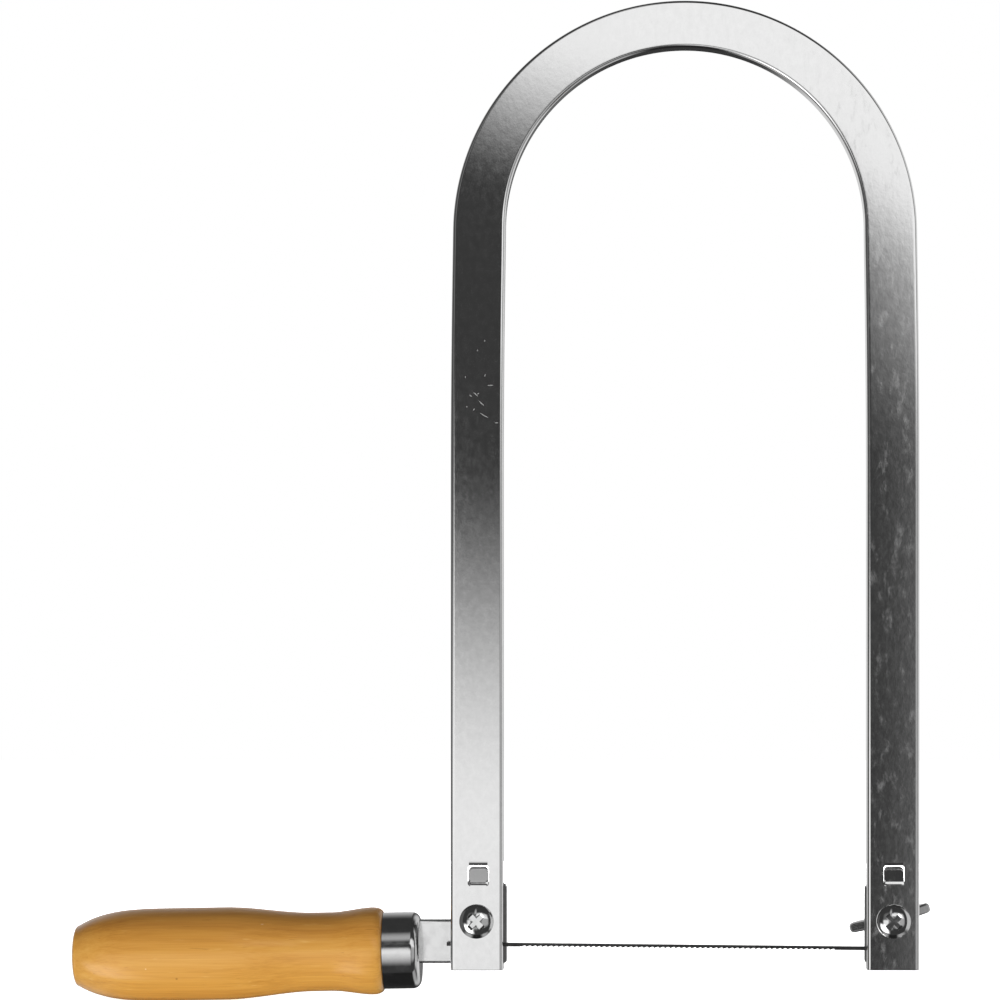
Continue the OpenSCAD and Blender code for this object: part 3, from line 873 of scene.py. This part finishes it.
make_bow()
for side_name in LEGS:
    make_screw(side_name)
    make_plate(side_name)
make_tang()
make_ferrule()
make_handle()
make_blade()
make_nut("left", TANG_Y + TANG_T, 90)
make_nut("right", TANG_Y, 15)


# Studio: floor, a wall of soft boxes that only reflections see, lamps, world and camera

def plane(name, corners, material):
    mesh = bpy.data.meshes.new(name)
    mesh.from_pydata(corners, [], [(0, 1, 2, 3)])
    mesh.materials.append(material)
    obj = bpy.data.objects.new(name, mesh)
    bpy.context.scene.collection.objects.link(obj)
    return obj


def floor_material():
    """Pale floor that is white to the camera and still takes the object's shadow."""
    mat = bpy.data.materials.new("floor")
    mat.use_nodes = True
    mat.node_tree.nodes.clear()
    n = Nodes(mat.node_tree)
    seen = n.add("ShaderNodeLightPath").outputs["Is Camera Ray"]
    rise = n.remap(n.split(n.where())[1], 0.02, 0.3, 0.8, 1.0)
    pale = n.add("ShaderNodeBsdfDiffuse", {"Color": (0.8, 0.8, 0.8, 1)})
    glow = n.add("ShaderNodeEmission", {"Strength": n.calc("MULTIPLY", seen, rise)})
    both = n.add("ShaderNodeAddShader", {0: pale.outputs[0], 1: glow.outputs[0]})
    n.add("ShaderNodeOutputMaterial", {"Surface": both.outputs[0]})
    return mat


# Soft boxes on the wall: brightness, and edges along X and Z as (dark, full, full, dark) places,
# in metres from the camera
SOFT_BOXES = [
    # Lower left, for the left leg
    (0.92, (-1.2, -0.8, -0.02, 0.09), (-1.15, 0.02, -0.08, 0.14)),
    # Upper right
    (0.8, (0.06, 0.2, 1.0, 1.5), (0.13, 0.3, 0.6, 0.9)),
    # Right
    (0.4, (0.115, 0.22, 1.2, 1.6), (-0.9, -0.4, 0.2, 0.5)),
    # High above
    (0.44, (-0.3, -0.24, -0.12, -0.02), (0.44, 0.76, 0.82, 1.85)),
    # Far left
    (0.12, (-1.2, -0.8, -0.35, -0.2), (-1.0, -0.6, 0.6, 1.0)),
    # Narrow, for the tang
    (0.6, (-0.19, -0.165, -0.138, -0.132), (-0.2, -0.05, 0.08, 0.2)),
]
# The box for the arch stands higher and turned, and a strong one low on the left shines in the varnish
ARCH_BOX = (1.0, (-0.17, -0.085, 0.35, 0.6), (-0.033, 0.061, 0.25, 0.5))
ARCH_BOX_UP, ARCH_BOX_TURN = 0.3, -14
LOW_BOX = (3.2, (-2.3, -1.4, -0.9, -0.25), (-2.3, -1.5, -0.9, -0.25))
WALL_GLOW = 0.045


def soft_boxes():
    """The studio in front of the saw: soft boxes on a dark wall."""
    mat = bpy.data.materials.new("soft_boxes")
    mat.use_nodes = True
    mat.node_tree.nodes.clear()
    n = Nodes(mat.node_tree)

    def patch(value, x_edges, z_edges, up=0.0, turn=0.0):
        """A soft box with soft edges, raised and turned about Y by degrees."""
        spot = n.add("ShaderNodeMapping", {"Vector": n.where(), "Location": (0, 0, -up)}).outputs[0]
        turned_by = (0, math.radians(turn), 0)
        spot = n.add("ShaderNodeMapping", {"Vector": spot, "Rotation": turned_by}).outputs[0]
        px, _, pz = n.split(spot)
        shape = value
        for axis, (a, b, c, d) in ((px, x_edges), (pz, z_edges)):
            shape = n.product(shape, n.remap(axis, a, b), n.remap(axis, c, d, 1.0, 0.0))
        return shape

    arch_box = patch(*ARCH_BOX, up=ARCH_BOX_UP, turn=ARCH_BOX_TURN)
    glow = n.total(WALL_GLOW, arch_box, *[patch(*box) for box in SOFT_BOXES])
    glow = n.calc("ADD", n.calc("MINIMUM", glow, 1.0), patch(*LOW_BOX))
    light = n.add("ShaderNodeEmission", {"Strength": glow})
    n.add("ShaderNodeOutputMaterial", {"Surface": light.outputs[0]})
    return mat


# The camera looks level along Y at the front of the bow
CAMERA_AT = ((BOW_X - 5.6) * MM, (FRONT_Y - 1000) * MM, (LEG_END_Z + 75.7) * MM)

SQUARE = ((-1, -1), (1, -1), (1, 1), (-1, 1))
FLOOR_HALF, WALL_HALF, BEHIND_CAMERA = 4.0, 2.5, 0.002

floor = plane("floor", [(a * FLOOR_HALF, b * FLOOR_HALF, 0) for a, b in SQUARE], floor_material())
# The front lamp stands below the floor and shines through it
floor.visible_glossy = False
floor.visible_shadow = False

wall = plane("front_soft_boxes", [(a * WALL_HALF, 0, b * WALL_HALF) for a, b in SQUARE], soft_boxes())
wall.location = (CAMERA_AT[0], CAMERA_AT[1] - BEHIND_CAMERA, CAMERA_AT[2])
wall.visible_camera = False
wall.visible_diffuse = False
wall.visible_shadow = False
wall.visible_transmission = False


def lamp(name, at, towards, size, power):
    """A rectangular lamp that lights the object and isn't seen or mirrored."""
    data = bpy.data.lights.new(name, "AREA")
    data.shape = "RECTANGLE"
    data.size, data.size_y = size
    data.energy = power
    obj = bpy.data.objects.new(name, data)
    bpy.context.scene.collection.objects.link(obj)
    obj.location = at
    obj.rotation_euler = (Vector(towards) - Vector(at)).to_track_quat("-Z", "Y").to_euler()
    obj.visible_glossy = False
    obj.visible_camera = False


OBJECT_AT = (0.0, 0.0, 0.06)
lamp("front_lamp", (-0.16, -0.75, -0.29), OBJECT_AT, (0.5, 0.35), 6.9)
lamp("back_lamp", (0.1, 0.8, 0.25), OBJECT_AT, (0.6, 0.5), 7.0)
lamp("top_lamp", (0.1, -0.2, 1.6), (0.0, 0.0, 0.0), (1.4, 1.4), 4.0)

world = bpy.data.worlds.new("studio")
bpy.context.scene.world = world
world.use_nodes = True
world.node_tree.nodes.clear()
world.cycles.sampling_method = "NONE"
w = Nodes(world.node_tree)
dx, dy, dz = w.split(w.add("ShaderNodeTexCoord").outputs["Generated"])
path = w.add("ShaderNodeLightPath").outputs
aside = w.calc("ABSOLUTE", dx)

# What glossy surfaces mirror where the wall isn't, by direction. The last factor is the brightness.
behind = w.product(
    w.remap(dy, 0.35, 1.3), w.remap(dz, -0.14, -0.03), w.remap(dx, 0.03, 0.08, 1.0, 0.15), 0.8
)
right = w.product(
    w.remap(dx, 0.45, 0.85), w.remap(dz, -0.7, -0.4), w.remap(dy, 0.5, 0.8, 1.0, 0.2), 0.6
)
rear = w.product(w.remap(dy, 0.25, 0.75), w.remap(aside, 0.15, 0.4), w.remap(dz, -0.9, -0.7), 0.55)
left = w.product(w.remap(dx, -0.85, -0.6, 1.0, 0.0), w.remap(dz, -0.7, -0.4), 0.08)
below = w.product(w.remap(aside, 0.2, 0.4), w.remap(dz, -0.82, -0.6, 1.0, 0.0), 0.4)
dim = w.remap(dz, -0.95, -0.4, 0.018, 0.04)
mirrored = w.calc("MINIMUM", w.total(dim, behind, right, rear, left, below), 1.0)

# The camera sees white, glossy surfaces see the pattern above and all else gets an even fill
FILL = 0.15
glossy = w.calc("MAXIMUM", path["Is Glossy Ray"], path["Is Transmission Ray"])
level = w.calc("ADD", w.product(glossy, mirrored), path["Is Camera Ray"])
plain = w.calc("SUBTRACT", 1.0, w.calc("MAXIMUM", glossy, path["Is Camera Ray"]))
level = w.calc("ADD", level, w.product(plain, FILL))
sky = w.add("ShaderNodeBackground", {"Color": (1, 1, 1, 1), "Strength": level})
w.add("ShaderNodeOutputWorld", {"Surface": sky.outputs[0]})

camera_data = bpy.data.cameras.new("camera")
camera_data.sensor_width = 36
camera_data.lens = 128.57
camera_data.shift_x = -0.165
camera_data.shift_y = 0.2
camera = bpy.data.objects.new("camera", camera_data)
bpy.context.scene.collection.objects.link(camera)
camera.location = CAMERA_AT
camera.rotation_euler = (math.pi / 2, 0, 0)
bpy.context.scene.camera = camera

bpy.context.scene.view_settings.view_transform = "Standard"

bpy.context.view_layer.update()
